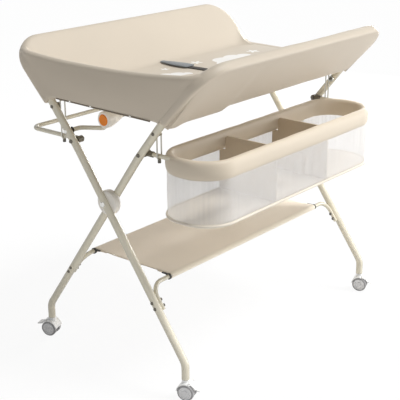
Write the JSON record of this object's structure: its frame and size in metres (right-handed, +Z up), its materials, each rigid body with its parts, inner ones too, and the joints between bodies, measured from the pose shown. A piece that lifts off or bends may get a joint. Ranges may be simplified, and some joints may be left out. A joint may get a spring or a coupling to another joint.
{
  "type": "folding changing table",
  "caption": "Folding baby changing table: two crossing tube frames, padded tray, hanging divided basket, back rail, lower cloth shelf and braked castors.",
  "frame": {"origin": "on the floor under the middle of the table", "axes": "+X along the table to the foot end, +Y to the back, away from the basket, +Z up"},
  "size_m": [0.9304, 0.6722, 0.8891],
  "materials": {
    "frame_steel": "satin warm grey enamel",
    "bright_metal": "polished",
    "dark_metal": "dark zinc",
    "pale_plastic": "smooth",
    "foot_plastic": "smooth",
    "dark_plastic": "fine grain",
    "eye_plastic": "fine grain",
    "orange_plastic": "smooth",
    "tray_cover": "soft wipe-clean synthetic leather with a fine grain",
    "bed_cover": "soft wipe-clean synthetic leather, printed",
    "panel_cover": "soft wipe-clean synthetic leather",
    "cloth": "plain weave",
    "strap_webbing": "webbing",
    "strap_padding": "brushed",
    "rim_cover": "soft wipe-clean synthetic leather",
    "mesh": "open mesh",
    "floor_cover": "soft wipe-clean synthetic leather",
    "divider_board": "plain weave over board",
    "castor_white": "smooth",
    "castor_tyre": "smooth tread",
    "castor_grey": "smooth"
  },
  "bodies": {
    "frame_a": {"frame_a_leg_near": "frame_steel", "frame_a_leg_far": "frame_steel", "frame_a_top_rail": "frame_steel", "frame_a_hub_covers": "pale_plastic", "hub_bolts": "bright_metal", "frame_a_screws": "dark_metal", "brace_pins": "bright_metal", "frame_a_foot_plugs": "foot_plastic", "frame_a_shelf_tube": "frame_steel", "frame_a_shelf_clips": "dark_plastic", "frame_a_hangers": "bright_metal", "shelf_cloth": "cloth", "tray_back_wall": "tray_cover", "tray_bed": "bed_cover", "tray_head_panel": "panel_cover", "tray_foot_lip": "tray_cover", "strap_web": "strap_webbing", "strap_pad": "strap_padding", "strap_buckle": "dark_plastic"},
    "frame_b": {"frame_b_leg_near": "frame_steel", "frame_b_leg_far": "frame_steel", "frame_b_top_rail": "frame_steel", "frame_b_hub_covers": "pale_plastic", "frame_b_screws": "dark_metal", "frame_b_foot_plugs": "foot_plastic", "frame_b_shelf_tube": "frame_steel", "frame_b_shelf_clips": "dark_plastic", "frame_b_hangers": "bright_metal", "tray_front_wall": "tray_cover"},
    "back_rail": {"back_rail": "frame_steel", "back_rail_eyes": "eye_plastic"},
    "front_rail": {"front_rail": "frame_steel", "front_rail_eyes": "eye_plastic", "basket_rim": "rim_cover", "basket_mesh_sides": "mesh", "basket_mesh_ends": "mesh", "basket_floor": "floor_cover", "basket_dividers": "divider_board"},
    "brace": {"brace_tube": "frame_steel", "brace_bushes": "dark_plastic", "lock_housing": "pale_plastic"},
    "lock_button": {"lock_button": "orange_plastic"},
    "castor_nf": {"castor_nf_fork": "castor_white"},
    "wheels_nf": {"castor_nf_tyres": "castor_tyre", "castor_nf_discs": "castor_grey"},
    "pedal_nf": {"castor_nf_pedal": "castor_white"},
    "castor_nb": {"castor_nb_fork": "castor_white"},
    "wheels_nb": {"castor_nb_tyres": "castor_tyre", "castor_nb_discs": "castor_grey"},
    "pedal_nb": {"castor_nb_pedal": "castor_white"},
    "castor_ff": {"castor_ff_fork": "castor_white"},
    "wheels_ff": {"castor_ff_tyres": "castor_tyre", "castor_ff_discs": "castor_grey"},
    "pedal_ff": {"castor_ff_pedal": "castor_white"},
    "castor_fb": {"castor_fb_fork": "castor_white"},
    "wheels_fb": {"castor_fb_tyres": "castor_tyre", "castor_fb_discs": "castor_grey"},
    "pedal_fb": {"castor_fb_pedal": "castor_white"}
  },
  "joints": [
    {"name": "fold", "type": "hinge", "parent": "frame_a", "child": "frame_b", "pos_m": [0, 0, 0.485], "axis": [-1, 0, 0], "range_deg": [0, 50], "deforming": ["tray_bed", "tray_head_panel", "tray_foot_lip", "shelf_cloth", "strap_web", "strap_pad", "strap_buckle"]},
    {"name": "brace_swing", "type": "hinge", "parent": "frame_a", "child": "brace", "pos_m": [0, 0.12979, 0.662], "axis": [1, 0, 0], "range_deg": [0, 50]},
    {"name": "button_push", "type": "slide", "parent": "brace", "child": "lock_button", "axis": [1, 0, 0], "range_m": [0, 0.003], "stiffness_N_per_m": 600},
    {"name": "back_rail_lift", "type": "hinge", "parent": "frame_a", "child": "back_rail", "pos_m": [0, 0.11053, 0.638], "axis": [1, 0, 0], "range_deg": [0, 20]},
    {"name": "basket_lift", "type": "hinge", "parent": "frame_b", "child": "front_rail", "pos_m": [0, -0.10732, 0.634], "axis": [-1, 0, 0], "range_deg": [0, 20]},
    {"name": "swivel_nf", "type": "hinge", "parent": "frame_a", "child": "castor_nf", "pos_m": [-0.44, -0.274, 0.05], "axis": [0, 0, 1], "continuous": true},
    {"name": "roll_nf", "type": "hinge", "parent": "castor_nf", "child": "wheels_nf", "pos_m": [-0.43837, -0.27873, 0.023], "axis": [-0.9455, -0.3256, 0], "continuous": true},
    {"name": "brake_nf", "type": "hinge", "parent": "castor_nf", "child": "pedal_nf", "pos_m": [-0.43548, -0.28714, 0.04743], "axis": [0.9455, 0.3256, 0], "range_deg": [0, 8]},
    {"name": "swivel_nb", "type": "hinge", "parent": "frame_b", "child": "castor_nb", "pos_m": [-0.412, 0.274, 0.05], "axis": [0, 0, 1], "continuous": true},
    {"name": "roll_nb", "type": "hinge", "parent": "castor_nb", "child": "wheels_nb", "pos_m": [-0.41363, 0.27873, 0.023], "axis": [0.9455, 0.3256, 0], "continuous": true},
    {"name": "brake_nb", "type": "hinge", "parent": "castor_nb", "child": "pedal_nb", "pos_m": [-0.41652, 0.28714, 0.04743], "axis": [-0.9455, -0.3256, 0], "range_deg": [0, 8]},
    {"name": "swivel_ff", "type": "hinge", "parent": "frame_a", "child": "castor_ff", "pos_m": [0.44, -0.274, 0.05], "axis": [0, 0, 1], "continuous": true},
    {"name": "roll_ff", "type": "hinge", "parent": "castor_ff", "child": "wheels_ff", "pos_m": [0.44163, -0.27873, 0.023], "axis": [-0.9455, -0.3256, 0], "continuous": true},
    {"name": "brake_ff", "type": "hinge", "parent": "castor_ff", "child": "pedal_ff", "pos_m": [0.44452, -0.28714, 0.04743], "axis": [0.9455, 0.3256, 0], "range_deg": [0, 8]},
    {"name": "swivel_fb", "type": "hinge", "parent": "frame_b", "child": "castor_fb", "pos_m": [0.412, 0.274, 0.05], "axis": [0, 0, 1], "continuous": true},
    {"name": "roll_fb", "type": "hinge", "parent": "castor_fb", "child": "wheels_fb", "pos_m": [0.41037, 0.27873, 0.023], "axis": [0.9455, 0.3256, 0], "continuous": true},
    {"name": "brake_fb", "type": "hinge", "parent": "castor_fb", "child": "pedal_fb", "pos_m": [0.40748, 0.28714, 0.04743], "axis": [-0.9455, -0.3256, 0], "range_deg": [0, 8]}
  ],
  "couplings": [
    {"joint": "brace_swing", "follows": "fold", "ratio": 1}
  ]
}
